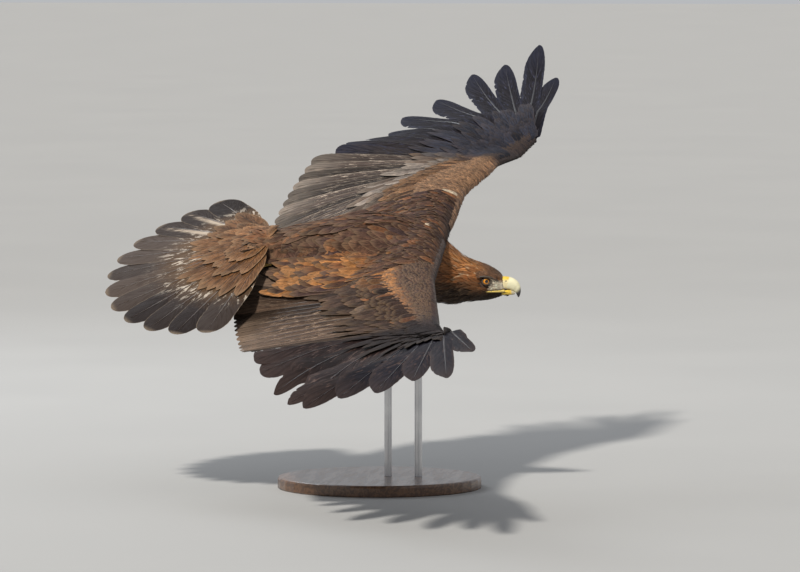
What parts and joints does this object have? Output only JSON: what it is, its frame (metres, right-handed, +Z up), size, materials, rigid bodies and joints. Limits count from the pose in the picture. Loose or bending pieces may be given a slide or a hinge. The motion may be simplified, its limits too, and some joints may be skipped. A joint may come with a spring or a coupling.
{
  "type": "golden eagle model in flight on a display stand",
  "caption": "Life-size golden eagle in banking flight with spread wings and fanned tail, held by rods on a round wooden base.",
  "frame": {"origin": "centre of the stand base's underside", "axes": "+Z up, -Y is the way the bird flies and looks, +X is its left wing"},
  "size_m": [2.2648, 0.891, 0.9065],
  "materials": {
    "body_plumage": "soft brown feathers with paler edges",
    "head_plumage": "narrow golden-brown hackles",
    "flight_feathers": "smooth dark vanes with a faint sheen",
    "bill": "horn, yellow cere, dark tip",
    "claw": "polished black horn",
    "eye": "wet amber eye with black pupil",
    "foot": "scaly yellow skin",
    "base_wood": "oiled dark wood",
    "rod_steel": "brushed"
  },
  "bodies": {
    "root": {"trunk": "body_plumage", "neck": "head_plumage", "head": "head_plumage", "eye_right": "eye", "eye_left": "eye", "bill_upper": "bill", "bill_lower": "bill", "wing_right_upper_arm": "body_plumage", "wing_right_forearm": "flight_feathers", "wing_right_hand": "flight_feathers", "wing_left_upper_arm": "body_plumage", "wing_left_forearm": "flight_feathers", "wing_left_hand": "flight_feathers", "tail": "flight_feathers", "thigh_left": "body_plumage", "thigh_right": "body_plumage", "foot_left": "foot", "foot_right": "foot", "claw_left_inner": "claw", "claw_left_middle": "claw", "claw_left_outer": "claw", "claw_left_hind": "claw", "claw_right_inner": "claw", "claw_right_middle": "claw", "claw_right_outer": "claw", "claw_right_hind": "claw", "stand_base": "base_wood", "stand_rod_front": "rod_steel", "stand_rod_back": "rod_steel"}
  },
  "joints": []
}
